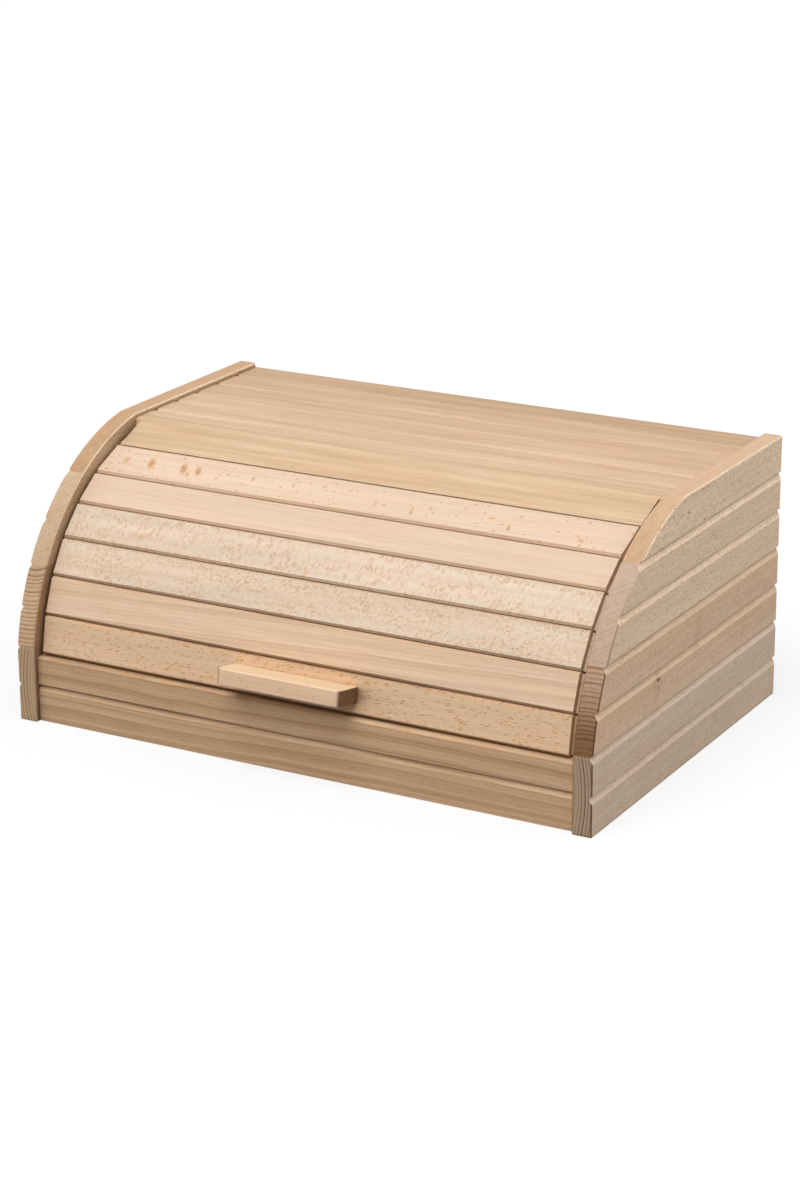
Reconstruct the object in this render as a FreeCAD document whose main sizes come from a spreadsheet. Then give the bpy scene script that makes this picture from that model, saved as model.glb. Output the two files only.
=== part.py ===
import FreeCAD, Part
import os
import re
import Sketcher
from FreeCAD import Rotation, Vector

# A wooden bread box with a roll top. Millimetres. Origin: middle of the underside of the base
# panel. X runs from the left side to the right, Y from the front to the back, Z up.

doc = FreeCAD.newDocument("roll_top_box")

# ---------------------------------------------------------------- driving dimensions

SIZES = {
    # the whole case
    "width": 410, "depth": 275, "height": 176, "side_boards": 4, "top_boards": 4,
    # the board stock: one thickness, and a V groove down the middle of each full board
    "board_thick": 13, "groove_depth": 2, "bevel_under": 1.6, "bevel_over": 4,
    # side panels: outline and the heights of their grooves
    "curve_radius": 151, "curve_past_front": 1.5, "curve_past_top": 2, "arris_bevel": 0.8,
    "first_groove": 24.6, "last_face_extra": -0.1,
    # front rail
    "rail_inset": 4, "rail_height": 43.5, "rail_groove": 23.4, "rail_groove_over": 3,
    "rail_bevel": 1.3,
    # fixed top
    "top_inset": 3, "top_housing": 5, "lip_setback": 99.5, "front_board": 47.5,
    "rear_strip": 26.5, "ridge_groove": 0.9, "ridge_bevel": 2, "ridge_back": 24.5,
    "lip_drop": 11.1, "lip_edge": 0.4, "lip_undercut": 1.2, "lip_notch": 4.5,
    "cove_gap": 0.5, "end_play": 0.2,
    # roll front and its track
    "slat_radius": 135, "track_front_inset": 6.5, "track_top_inset": 8.5,
    "visible_slats": 6, "slat_thick": 8, "slat_end_gap": 4, "slat_gap": 0.4,
    "slat_bevel": 1.6, "slat_round": 0.5, "slat_drift": -2, "lip_lap": 2,
    "upper_slat_extra": 4,
    "end_tongue": 8, "end_tongue_thick": 4, "end_tongue_width": 23.6,
    "track_depth": 6.5, "track_play": 0.4, "track_spare": 4, "closing_gap": 0.4,
    "back_clearance": 8, "canvas_thick": 0.8, "canvas_margin": 6,
    # handle and its two screws
    "handle_length": 88, "handle_reach": 21.5, "handle_height": 10.6, "handle_drop": 0.2,
    "handle_corner": 3.5, "handle_edge": 0.9, "handle_stop_gap": 0.8,
    "screw_spacing": 50, "screw_radius": 1.6, "screw_head": 3.4, "screw_head_height": 2,
    "screw_length": 22, "screw_play": 0.05, "screw_slot": 0.9, "screw_slot_long": 3.6,
    "screw_slot_depth": 1.1,
    # base panel and its nails
    "base_thick": 5, "rabbet": 6, "base_play": 0.2, "nail_radius": 0.8, "nail_head": 1.7,
    "nail_head_height": 0.8, "nail_length": 16, "nail_point": 1.2, "nail_play": 0.05,
    "nail_spacing_side": 90, "nail_spacing_end": 120,
    # dowels
    "dowel_radius": 3, "dowel_in_side": 7.5, "dowel_in_board": 16, "dowel_play": 0.05,
    "dowel_tip_play": 0.8, "dowel_chamfer": 0.8, "dowel_from_joint": 12,
    "rail_dowel_from_edge": 12,
    # how far a cutter reaches past the face that it cuts
    "overshoot": 1,
}

sizes = doc.addObject("Spreadsheet::Sheet", "Sizes")
for row, (alias, number) in enumerate(SIZES.items(), start=1):
    sizes.set(f"A{row}", alias)
    sizes.set(f"B{row}", str(number))
    sizes.setAlias(f"B{row}", alias)
doc.recompute()

# ---------------------------------------------------------------- derived places

layout = doc.addObject("App::VarSet", "Layout")
LAYOUT = set()


def bind(text):
    """Turn plain size names into references that an expression understands."""
    def name(match):
        word = match.group(0)
        if word in SIZES:
            return f"Sizes.{word}"
        return f"Layout.{word}" if word in LAYOUT else word
    return re.sub(r"[a-z_]+", name, text)


def derive(name, text):
    layout.addProperty("App::PropertyFloat", name, "Layout")
    layout.setExpression(name, bind(text))
    LAYOUT.add(name)
    layout.recompute()


def value(text):
    return float(layout.evalExpression(bind(text)))


# the case
derive("front", "0 - depth / 2")
derive("back", "depth / 2")
derive("outer_side", "width / 2")
derive("inner_side", "width / 2 - board_thick")
derive("curve_y", "front - curve_past_front + curve_radius")
derive("curve_z", "height + curve_past_top - curve_radius")
derive("side_pitch", "(height - first_groove - last_face_extra) / (2 * side_boards - 2)")
derive("rail_front", "front + rail_inset")
derive("rail_back", "rail_front + board_thick")
derive("back_inner", "back - board_thick")
# the fixed top
derive("top_face", "height - top_inset")
derive("top_under", "top_face - board_thick")
derive("lip_y", "front + lip_setback")
derive("first_joint_y", "lip_y + front_board")
derive("top_pitch", "(back - rear_strip - first_joint_y) / (2 * top_boards - 4)")
derive("ridge_y", "lip_y + ridge_back")
derive("lip_z", "top_face - lip_drop - lip_edge")
# the circular track, whose axis the roll front turns about
derive("slat_length", "2 * (inner_side - slat_end_gap)")
derive("track_y", "front + track_front_inset + slat_radius")
derive("track_z", "height - track_top_inset - slat_radius")
derive("closing_rise", "rail_height + closing_gap - track_z")
derive("closed_angle", "180 - max(asin(closing_rise / slat_radius); "
                       "asin(closing_rise / (slat_radius - slat_thick))) / 1 deg")
derive("lip_angle", "acos((lip_y + lip_lap - track_y) / slat_radius) / 1 deg")
derive("upper_extra", "upper_slat_extra / slat_radius * 180 / pi")
derive("slat_pitch", "(closed_angle - lip_angle - upper_extra) / visible_slats")
derive("slat_outer", "slat_radius * cos(slat_pitch / 2)")
derive("slat_inner", "slat_outer - slat_thick")
derive("end_tongue_outer", "slat_inner + end_tongue_thick")
derive("track_inner", "slat_inner - track_play")
derive("track_outer", "sqrt(end_tongue_outer ^ 2 + (end_tongue_width / 2) ^ 2) + track_play")
# the handle, carried by the lowest slat
derive("handle_angle", "closed_angle - slat_pitch / 2")
derive("handle_y", "track_y - handle_drop * sin(handle_angle)")
derive("handle_z", "track_z + handle_drop * cos(handle_angle)")
derive("handle_top", "handle_height / 2 - handle_drop + handle_stop_gap")
derive("lip_reach", "sqrt((lip_y - track_y) ^ 2 + (lip_z - track_z) ^ 2)")
derive("lip_edge_angle", "acos((lip_y - track_y) / lip_reach) / 1 deg")
derive("rear_angle", "acos((back_inner - back_clearance - track_y) / slat_radius) / 1 deg")
derive("open_travel", "min(handle_angle - asin(handle_top / lip_reach) / 1 deg - lip_edge_angle; "
                      "lip_angle - slat_pitch - rear_angle)")
derive("track_rear_angle", "lip_angle - slat_pitch - open_travel - track_spare")
derive("track_sweep", "closed_angle - track_rear_angle")
# base panel
derive("base_front", "rail_back - rabbet")
derive("base_back", "back_inner + rabbet")
derive("base_side", "inner_side + rabbet")
# dowels
derive("dowel_start", "inner_side - dowel_in_board")
derive("dowel_end", "inner_side + dowel_in_side")
derive("rail_dowel_y", "rail_front + board_thick / 2")
derive("back_dowel_y", "back - board_thick / 2")

VISIBLE = int(SIZES["visible_slats"])
SIDE_BOARDS = int(SIZES["side_boards"])
TOP_BOARDS = int(SIZES["top_boards"])
NEAR = 0.01

# ---------------------------------------------------------------- feature helpers


def bind_all(item, **texts):
    """Bind properties to expressions; double underscores stand for dots."""
    for path, text in texts.items():
        item.setExpression(path.replace("__", "."), bind(text))
    return item


def new_body(name):
    return doc.addObject("PartDesign::Body", name)


def origin_plane(body, role):
    return next(item for item in body.Origin.OriginFeatures if item.Role == role)


def new_sketch(body, name, role):
    sketch = body.newObject("Sketcher::SketchObject", name)
    sketch.AttachmentSupport = [(origin_plane(body, role), "")]
    sketch.MapMode = "FlatFace"
    return sketch


def fix_point(sketch, edge, end, corner):
    """Hold one end of an edge at a place given by two expressions."""
    for kind, text in zip(("DistanceX", "DistanceY"), corner):
        index = sketch.addConstraint(
            Sketcher.Constraint(kind, -1, 1, edge, end, value(text)))
        sketch.setExpression(f"Constraints[{index}]", bind(text))


def polygon(body, name, role, corners):
    """A closed sketch of straight edges, each corner held by expressions."""
    sketch = new_sketch(body, name, role)
    places = [Vector(value(across), value(up), 0) for across, up in corners]
    count = len(places)
    for edge in range(count):
        sketch.addGeometry(Part.LineSegment(places[edge], places[(edge + 1) % count]))
    for edge in range(count):
        sketch.addConstraint(
            Sketcher.Constraint("Coincident", edge, 2, (edge + 1) % count, 1))
        fix_point(sketch, edge, 1, corners[edge])
    return sketch


def pad(body, sketch, length):
    """Extrude a sketch by the same amount to both sides of its plane."""
    feature = body.newObject("PartDesign::Pad", f"{sketch.Name}_pad")
    feature.Profile = sketch
    feature.SideType = "Symmetric"
    bind_all(feature, Length=length)
    doc.recompute()
    return feature


def revolve(body, sketch, axis, angle):
    feature = body.newObject("PartDesign::Revolution", f"{sketch.Name}_turn")
    feature.Profile = sketch
    feature.ReferenceAxis = axis
    bind_all(feature, Angle=angle)
    doc.recompute()
    return feature


def lathe(name, role, axis, section, spot):
    """A round piece or hole, turned about one axis of its sketch and moved to a spot."""
    body = new_body(name)
    sketch = polygon(body, f"{name}_section", role, section)
    revolve(body, sketch, (sketch, [axis]), "360")
    return bind_all(body, Placement__Base__x=spot[0], Placement__Base__y=spot[1],
                    Placement__Base__z=spot[2])


def soften(kind, body, base, size, wanted):
    """Round or bevel the edges of a feature that the test called wanted picks."""
    names = [f"Edge{number}" for number, edge in enumerate(base.Shape.Edges, start=1)
             if wanted(edge)]
    feature = body.newObject(f"PartDesign::{kind}", f"{base.Name}_{kind}")
    feature.Base = (base, names)
    bind_all(feature, **{"Radius" if kind == "Fillet" else "Size": size})
    doc.recompute()
    return feature


def box(name, start, size):
    item = doc.addObject("Part::Box", name)
    return bind_all(item, Placement__Base__x=start[0], Placement__Base__y=start[1],
                    Placement__Base__z=start[2], Length=size[0], Width=size[1], Height=size[2])


def cylinder(name, start, radius, length, axis):
    item = doc.addObject("Part::Cylinder", name)
    item.Placement.Rotation = Rotation(Vector(0, 0, 1), axis)
    return bind_all(item, Placement__Base__x=start[0], Placement__Base__y=start[1],
                    Placement__Base__z=start[2], Radius=radius, Height=length)


def group(kind, name, items):
    item = doc.addObject(kind, name)
    if kind == "Part::Compound":
        item.Links = items
    else:
        item.Shapes = items
    return item


def boolean(kind, name, base, tool):
    item = doc.addObject(kind, name)
    item.Base = base
    item.Tool = tool
    return item


def carve(name, base, tools):
    tool = tools[0] if len(tools) == 1 else group("Part::MultiFuse", f"{name}_tools", tools)
    return boolean("Part::Cut", name, base, tool)


def mirror(name, source):
    """The left-hand twin of a right-hand piece."""
    item = doc.addObject("Part::Mirroring", name)
    item.Source = source
    item.Base = Vector(0, 0, 0)
    item.Normal = Vector(1, 0, 0)
    return item


PIECES = []


def piece(item, node):
    """Mark a finished sub-part; its label names its file."""
    item.Label = node
    PIECES.append(item)
    return item


# ---------------------------------------------------------------- board stock


def board_section(low, high, middle=None, joint_below=True, bevel_above="bevel_over",
                  middle_over="bevel_over"):
    """Section of one board as (depth below its show face, place across its width).

    Boards are glued edge to edge. Each joint lies at the bottom of a V groove, whose narrow
    bevel is on one board's low edge and broad bevel on its neighbour's high edge. A full board
    has a third, mock groove down its middle.
    """
    corners = [("board_thick", low)]
    if joint_below:
        corners += [("groove_depth", low), ("0", f"{low} + bevel_under")]
    else:
        corners += [("0", low)]
    if middle:
        corners += [("0", f"{middle} - {middle_over}"), ("groove_depth", middle),
                    ("0", f"{middle} + bevel_under")]
    if bevel_above:
        corners += [("0", f"{high} - {bevel_above}"), ("groove_depth", high)]
    else:
        corners += [("0", high)]
    return corners + [("board_thick", high)]


def board(name, role, section, place, length):
    """A length of board; place turns a section corner into the sketch's own axes."""
    body = new_body(name)
    sketch = polygon(body, f"{name}_section", role, [place(*corner) for corner in section])
    pad(body, sketch, length)
    return body


def groove_height(number):
    """Height of a groove of the sides and the back, counted in half boards from the first."""
    return f"(first_groove + {number} * side_pitch)"


def upright_section(number, top):
    """Section of one board of a side or the back, numbered upwards from 1."""
    last = number == SIDE_BOARDS
    return board_section(
        "0" if number == 1 else groove_height(2 * number - 3),
        top if last else groove_height(2 * number - 1),
        middle=None if last else groove_height(2 * number - 2),
        joint_below=number > 1, bevel_above=None if last else "bevel_over")


# ---------------------------------------------------------------- holes and recesses


def dowel(name, spot):
    """A dowel along X, half in the right side panel and half in the piece between."""
    return lathe(name, "XY_Plane", "H_Axis", [
        ("dowel_start", "0"), ("dowel_start", "dowel_radius - dowel_chamfer"),
        ("dowel_start + dowel_chamfer", "dowel_radius"),
        ("dowel_end - dowel_chamfer", "dowel_radius"),
        ("dowel_end", "dowel_radius - dowel_chamfer"), ("dowel_end", "0")], spot)


def dowel_hole(name, spot):
    radius = "dowel_radius + dowel_play"
    return lathe(name, "XY_Plane", "H_Axis", [
        ("dowel_start - dowel_tip_play", "0"), ("dowel_start - dowel_tip_play", radius),
        ("dowel_end + dowel_tip_play", radius), ("dowel_end + dowel_tip_play", "0")], spot)


def at_each(make, name, spots):
    """One item made at each spot, numbered from 1."""
    return [make(f"{name}_{number}", spot) for number, spot in enumerate(spots, start=1)]


rail_dowel_spots = [("0", "rail_dowel_y", "rail_dowel_from_edge"),
                    ("0", "rail_dowel_y", "rail_height - rail_dowel_from_edge")]
back_dowel_spots = []
for number in range(1, SIDE_BOARDS):
    lower = "0" if number == 1 else groove_height(2 * number - 3)
    upper = groove_height(2 * number - 1)
    back_dowel_spots += [("0", "back_dowel_y", f"{lower} + dowel_from_joint"),
                         ("0", "back_dowel_y", f"{upper} - dowel_from_joint")]

rail_holes = group("Part::MultiFuse", "rail_holes",
                   at_each(dowel_hole, "rail_hole", rail_dowel_spots))
back_holes = group("Part::MultiFuse", "back_holes",
                   at_each(dowel_hole, "back_hole", back_dowel_spots))

base_recess = box("base_recess", ("0 - base_side", "base_front", "0"),
                  ("2 * base_side", "base_back - base_front", "base_thick"))


def nail_spots():
    """Places of the nails: three up each side, two into the rail and two into the back."""
    spots = []
    for turn in (-1, 1):
        for step in (-1, 0, 1):
            spots.append((f"{turn} * (inner_side + rabbet / 2)",
                          f"(base_front + base_back) / 2 + {step} * nail_spacing_side", "0"))
        spots.append((f"{turn} * nail_spacing_end", "base_front + rabbet / 2", "0"))
        spots.append((f"{turn} * nail_spacing_end", "base_back - rabbet / 2", "0"))
    return spots


def nail_section(play):
    """A nail's outline about its upright axis, or its hole's, from the head upwards."""
    return [("0", "0"), (f"nail_head + {play}", "0"),
            (f"nail_head + {play}", "nail_head_height"),
            (f"nail_radius + {play}", "nail_head_height"),
            (f"nail_radius + {play}", "nail_length - nail_point"), ("0", "nail_length")]


def nail(name, spot):
    return lathe(name, "XZ_Plane", "V_Axis", nail_section("0"), spot)


def nail_hole(name, spot):
    return lathe(name, "XZ_Plane", "V_Axis", nail_section("nail_play"), spot)


nail_holes = group("Part::MultiFuse", "nail_holes", at_each(nail_hole, "nail_hole", nail_spots()))

# the arc-shaped groove in which the ends of the slats run
track = new_body("track_groove")
track_sketch = polygon(track, "track_section", "XY_Plane", [
    ("inner_side - overshoot", "track_inner"), ("inner_side + track_depth", "track_inner"),
    ("inner_side + track_depth", "track_outer"), ("inner_side - overshoot", "track_outer")])
revolve(track, track_sketch, (origin_plane(track, "X_Axis"), [""]), "track_sweep")
track.Placement.Rotation = Rotation(Vector(1, 0, 0), 1)
bind_all(track, Placement__Base__y="track_y", Placement__Base__z="track_z",
         Placement__Rotation__Angle="track_rear_angle")

# the housing that takes the ends of the fixed top
top_recess = box("top_recess", ("inner_side - overshoot", "ridge_y", "top_under"),
                 ("top_housing + overshoot", "depth", "board_thick"))

# ---------------------------------------------------------------- side panels


def panel_blank():
    """Outline of a whole side panel, with its curved front and eased arrises."""
    body = new_body("panel_blank")
    sketch = new_sketch(body, "panel_outline", "YZ_Plane")
    centre = Vector(value("curve_y"), value("curve_z"), 0)
    crown = Vector(value("curve_y - sqrt(curve_radius ^ 2 - (height - curve_z) ^ 2)"),
                   value("height"), 0)
    foot = Vector(value("front"),
                  value("curve_z + sqrt(curve_radius ^ 2 - (curve_y - front) ^ 2)"), 0)
    bottom = [Vector(value("front"), 0, 0), Vector(value("back"), 0, 0)]
    top = Vector(value("back"), value("height"), 0)
    sketch.addGeometry(Part.LineSegment(bottom[0], bottom[1]))
    sketch.addGeometry(Part.LineSegment(bottom[1], top))
    sketch.addGeometry(Part.LineSegment(top, crown))
    circle = Part.Circle(centre, Vector(0, 0, 1), value("curve_radius"))
    sketch.addGeometry(Part.ArcOfCircle(circle, circle.parameter(crown),
                                        circle.parameter(foot)))
    sketch.addGeometry(Part.LineSegment(foot, bottom[0]))
    fix_point(sketch, 0, 1, ("front", "0"))
    fix_point(sketch, 0, 2, ("back", "0"))
    fix_point(sketch, 1, 2, ("back", "height"))
    fix_point(sketch, 3, 3, ("curve_y", "curve_z"))
    index = sketch.addConstraint(
        Sketcher.Constraint("Radius", 3, value("curve_radius")))
    sketch.setExpression(f"Constraints[{index}]", bind("curve_radius"))
    for first, first_end, second, second_end in ((0, 2, 1, 1), (1, 2, 2, 1), (2, 2, 3, 1),
                                                 (3, 2, 4, 1), (4, 2, 0, 1)):
        sketch.addConstraint(
            Sketcher.Constraint("Coincident", first, first_end, second, second_end))
    sketch.addConstraint(Sketcher.Constraint("Horizontal", 2))
    sketch.addConstraint(Sketcher.Constraint("Vertical", 4))
    block = pad(body, sketch, "board_thick")
    soften("Chamfer", body, block, "arris_bevel",
           lambda edge: edge.BoundBox.XLength < NEAR and edge.BoundBox.ZMax > NEAR)
    bind_all(body, Placement__Base__x="inner_side + board_thick / 2")
    return body


blank = panel_blank()
for number in range(1, SIDE_BOARDS + 1):
    stock = board(f"side_stock_{number}", "XZ_Plane", upright_section(number, "height"),
                  lambda deep, up: (f"outer_side - ({deep})", up), "depth + 2 * overshoot")
    shaped = boolean("Part::Common", f"side_shaped_{number}", stock, blank)
    tools = [track]
    if number == 1:
        tools += [base_recess, rail_holes, back_holes, nail_holes]
    elif number == SIDE_BOARDS:
        tools += [top_recess]
    else:
        tools += [back_holes]
    right = carve(f"side_board_{number}", shaped, tools)
    piece(right, f"right_side_board_{number}")
    piece(mirror(f"side_mirror_{number}", right), f"left_side_board_{number}")

# ---------------------------------------------------------------- front rail, back, base

rail_stock = board("rail_stock", "YZ_Plane",
                   board_section("0", "rail_height", middle="rail_groove",
                                 joint_below=False, bevel_above="rail_bevel",
                                 middle_over="rail_groove_over"),
                   lambda deep, up: (f"rail_front + {deep}", up), "2 * inner_side")
rail_tools = [rail_holes, mirror("rail_holes_left", rail_holes), base_recess, nail_holes]
piece(carve("rail", rail_stock, rail_tools), "front_rail")

back_holes_left = mirror("back_holes_left", back_holes)
for number in range(1, SIDE_BOARDS + 1):
    stock = board(f"back_stock_{number}", "YZ_Plane", upright_section(number, "top_under"),
                  lambda deep, up: (f"back - ({deep})", up), "2 * inner_side")
    tools = [back_holes, back_holes_left]
    if number == 1:
        tools += [base_recess, nail_holes]
    last = number == SIDE_BOARDS
    piece(stock if last else carve(f"back_cut_{number}", stock, tools), f"back_board_{number}")

base_stock = box("base_stock", ("base_play - base_side", "base_front + base_play", "0"),
                 ("2 * (base_side - base_play)", "base_back - base_front - 2 * base_play",
                  "base_thick"))
piece(carve("base_cut", base_stock, [nail_holes]), "base_panel")
piece(group("Part::Compound", "nails", at_each(nail, "nail", nail_spots())), "base_nails")

for name, spots in (("rail", rail_dowel_spots), ("back", back_dowel_spots)):
    right = group("Part::Compound", f"{name}_pegs_right", at_each(dowel, f"{name}_peg", spots))
    left = mirror(f"{name}_pegs_left", right)
    piece(group("Part::Compound", f"{name}_pegs", [right, left]), f"{name}_dowels")

# ---------------------------------------------------------------- fixed top

cove = cylinder("cove", ("0 - width / 2", "track_y", "track_z"), "slat_radius + cove_gap",
                "width", Vector(1, 0, 0))


def top_place(deep, ahead):
    """The top's boards count their width from the back towards the front."""
    return (f"0 - ({ahead})", f"top_face - ({deep})")


def joint_ahead(number):
    """Place of a line between boards, counted in half boards behind the front board."""
    return f"(0 - first_joint_y - {number} * top_pitch)"


top_length = "2 * (inner_side + top_housing - end_play)"
for number in range(2, TOP_BOARDS + 1):
    last = number == TOP_BOARDS
    section = board_section(
        "0 - back" if last else joint_ahead(2 * number - 2), joint_ahead(2 * number - 4),
        middle=None if last else joint_ahead(2 * number - 3), joint_below=not last)
    stock = board(f"top_stock_{number}", "YZ_Plane", section, top_place, top_length)
    piece(carve(f"top_cut_{number}", stock, [cove]) if number == 2 else stock,
          f"top_board_{number}")

# the front board of the top is planed down to a thin lip over the roll front
lip_section = [("board_thick", joint_ahead(0)), ("groove_depth", joint_ahead(0)),
               ("0", f"{joint_ahead(0)} + bevel_under"), ("0", "0 - ridge_y - ridge_bevel"),
               ("ridge_groove", "0 - ridge_y"), ("lip_drop", "0 - lip_y"),
               ("lip_drop + lip_edge", "0 - lip_y"),
               ("board_thick", "0 - lip_y - lip_undercut")]
lip_stock = board("lip_stock", "YZ_Plane", lip_section, top_place, top_length)
notch_size = ("top_housing + lip_notch", "lip_setback", "2 * board_thick")
notch_right = box("notch_right", ("inner_side - lip_notch", "ridge_y - lip_setback",
                                  "top_under - board_thick / 2"), notch_size)
piece(carve("lip_board", lip_stock, [cove, notch_right, mirror("notch_left", notch_right)]),
      "top_board_1")

# ---------------------------------------------------------------- roll front


def roll_frame(item, angle):
    """Put a piece drawn about the track's axis at an angle on the roll."""
    item.Placement.Rotation = Rotation(Vector(1, 0, 0), 1)
    return bind_all(item, Placement__Base__x="slat_drift", Placement__Base__y="track_y",
                    Placement__Base__z="track_z", Placement__Rotation__Angle=angle)


def handle_frame(item, across):
    """Put a piece of the handle on the middle of the lowest slat."""
    item.Placement.Rotation = Rotation(Vector(1, 0, 0), 1)
    return bind_all(item, Placement__Base__x=f"slat_drift + {across}",
                    Placement__Base__y="handle_y", Placement__Base__z="handle_z",
                    Placement__Rotation__Angle="handle_angle")


def slat_angle(number):
    """Angle of a slat's middle. The upper one of those that show is wider than the rest."""
    if number < 2:
        return "(lip_angle - slat_pitch / 2)"
    share = "upper_extra / 2" if number == 2 else "upper_extra"
    return f"(lip_angle + ({number} - 1.5) * slat_pitch + {share})"


def slat(number):
    """One slat: bevelled outer face, sides that lean with the roll, thinner end tongues."""
    name = f"slat_body_{number}"
    body = new_body(name)
    half = "((slat_pitch + upper_extra) / 2)" if number == 2 else "(slat_pitch / 2)"
    wide = f"(slat_outer * tan({half}) - slat_gap / 2)"
    narrow = f"(slat_inner * tan({half}) - slat_gap / 2)"
    shoulder = "slat_outer - slat_bevel"
    side = f"({wide} - slat_bevel * tan({half}))"
    face = f"({wide} - slat_bevel)"
    sketch = polygon(body, f"{name}_section", "YZ_Plane", [
        ("slat_inner", f"0 - {narrow}"), (shoulder, f"0 - {side}"),
        ("slat_outer", f"0 - {face}"), ("slat_outer", face), (shoulder, side),
        ("slat_inner", narrow)])
    blank_pad = pad(body, sketch, "slat_length")
    outer, edge = value("slat_outer"), value(shoulder)

    def shown(item):
        ends = item.Vertexes
        lengthwise = len(ends) == 2 and abs(ends[0].X - ends[1].X) > NEAR
        return lengthwise and min(abs(ends[0].Y - outer), abs(ends[0].Y - edge)) < NEAR

    soften("Fillet", body, blank_pad, "slat_round", shown)
    tongue = polygon(body, f"{name}_tongue", "YZ_Plane", [
        ("slat_inner", "0 - end_tongue_width / 2"),
        ("end_tongue_outer", "0 - end_tongue_width / 2"),
        ("end_tongue_outer", "end_tongue_width / 2"),
        ("slat_inner", "end_tongue_width / 2")])
    pad(body, tongue, "slat_length + 2 * end_tongue")
    return roll_frame(body, slat_angle(number))


def shaft(name, across, section):
    """A round piece or hole on the line of a handle screw, through the lowest slat."""
    body = lathe(name, "XY_Plane", "V_Axis", section, ("0", "0", "0"))
    return handle_frame(body, across)


def screw_section(play):
    """A countersunk screw's outline, or its hole's, from the slat's inner face outwards."""
    tip = f"slat_inner + screw_length + {play}"
    return [("0", "slat_inner"), (f"screw_head + {play}", "slat_inner"),
            (f"screw_radius + {play}", "slat_inner + screw_head_height"),
            (f"screw_radius + {play}", f"{tip} - screw_radius"), ("0", tip)]


def screw_recess(name, across):
    """The crossed slot in a screw's head."""
    arms = []
    arm_sides = (("screw_slot_long", "screw_slot"), ("screw_slot", "screw_slot_long"))
    for arm, (wide, high) in enumerate(arm_sides, start=1):
        body = new_body(f"{name}_{arm}")
        sketch = polygon(body, f"{name}_{arm}_section", "XZ_Plane", [
            (f"0 - {wide} / 2", f"0 - {high} / 2"), (f"{wide} / 2", f"0 - {high} / 2"),
            (f"{wide} / 2", f"{high} / 2"), (f"0 - {wide} / 2", f"{high} / 2")])
        pad(body, sketch, "2 * (slat_inner + screw_slot_depth)")
        arms.append(handle_frame(body, across))
    return arms


screw_places = ("0 - screw_spacing / 2", "screw_spacing / 2")
screw_holes = group("Part::MultiFuse", "screw_holes", [
    shaft(f"screw_hole_{side}", across, screw_section("screw_play"))
    for side, across in enumerate(screw_places, start=1)])
screws = [carve(f"screw_cut_{side}", shaft(f"screw_{side}", across, screw_section("0")),
                screw_recess(f"screw_cross_{side}", across))
          for side, across in enumerate(screw_places, start=1)]
piece(group("Part::Compound", "screws", screws), "handle_screws")

# the first slat is the one that stays hidden under the lip when the box is shut
for number in range(1, VISIBLE + 2):
    body = slat(number)
    lowest = number == VISIBLE + 1
    piece(carve(f"slat_cut_{number}", body, [screw_holes]) if lowest else body,
          f"slat_{number}")

# the canvas lies flat on each slat and turns at the joints between them
folds = [("(lip_angle - slat_pitch)", "slat_pitch / 2")]
for number in range(1, VISIBLE + 1):
    below, above = slat_angle(number), slat_angle(number + 1)
    folds.append((f"(({below} + {above}) / 2)", f"(({above} - {below}) / 2)"))
folds.append(("closed_angle", "slat_pitch / 2"))
canvas = new_body("canvas")
rims = []
for rim in ("slat_inner", "(slat_inner - canvas_thick)"):
    rims.append([(f"{rim} / cos({lean}) * cos({angle})", f"{rim} / cos({lean}) * sin({angle})")
                 for angle, lean in folds])
canvas_sketch = polygon(canvas, "canvas_section", "YZ_Plane", rims[0] + rims[1][::-1])
pad(canvas, canvas_sketch, "slat_length - 2 * canvas_margin")
roll_frame(canvas, "0")
canvas_hole = [("0", "slat_inner - canvas_thick - overshoot"),
               ("screw_head + canvas_thick", "slat_inner - canvas_thick - overshoot"),
               ("screw_head + canvas_thick", "slat_inner + overshoot"),
               ("0", "slat_inner + overshoot")]
canvas_holes = [shaft(f"canvas_hole_{side}", across, canvas_hole)
                for side, across in enumerate(screw_places, start=1)]
piece(carve("canvas_cut", canvas, canvas_holes), "canvas_backing")

handle = new_body("handle_body")
handle_sketch = polygon(handle, "handle_plan", "XY_Plane", [
    ("0 - handle_length / 2", "slat_outer"), ("handle_length / 2", "slat_outer"),
    ("handle_length / 2", "slat_outer + handle_reach"),
    ("0 - handle_length / 2", "slat_outer + handle_reach")])
handle_pad = pad(handle, handle_sketch, "handle_height")
front_line = value("slat_outer + handle_reach")
foot_line = value("slat_outer")
corners_round = soften("Fillet", handle, handle_pad, "handle_corner", lambda edge: all(
    abs(vertex.Y - front_line) < NEAR for vertex in edge.Vertexes)
    and abs(edge.Vertexes[0].Z - edge.Vertexes[1].Z) > NEAR)
soften("Fillet", handle, corners_round, "handle_edge",
       lambda edge: edge.BoundBox.YMax > foot_line + NEAR
       and edge.BoundBox.ZMax - edge.BoundBox.ZMin < NEAR)
handle_frame(handle, "0")
piece(carve("handle_cut", handle, [screw_holes]), "handle")

# ---------------------------------------------------------------- checks and export

doc.recompute()
broken = [item.Label for item in doc.Objects
          if "Invalid" in item.State or "Error" in item.State]
broken += [item.Label for item in PIECES if item.Shape.isNull() or not item.Shape.isValid()]
if broken:
    raise SystemExit(f"not sound: {broken}")

os.makedirs("parts", exist_ok=True)
for item in PIECES:
    item.Shape.exportStep(f"parts/{item.Label}.step")
    solids = item.Shape.Solids
    print(f"{item.Label:22s} {len(solids)} solids, {item.Shape.Volume / 1000:8.2f} cm3")
print(f"track axis y {layout.track_y:.3f} z {layout.track_z:.3f},"
      f" opens {layout.open_travel:.2f} degrees")
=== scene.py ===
import math

import bmesh
import bpy
from mathutils import Matrix, Vector, noise

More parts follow.
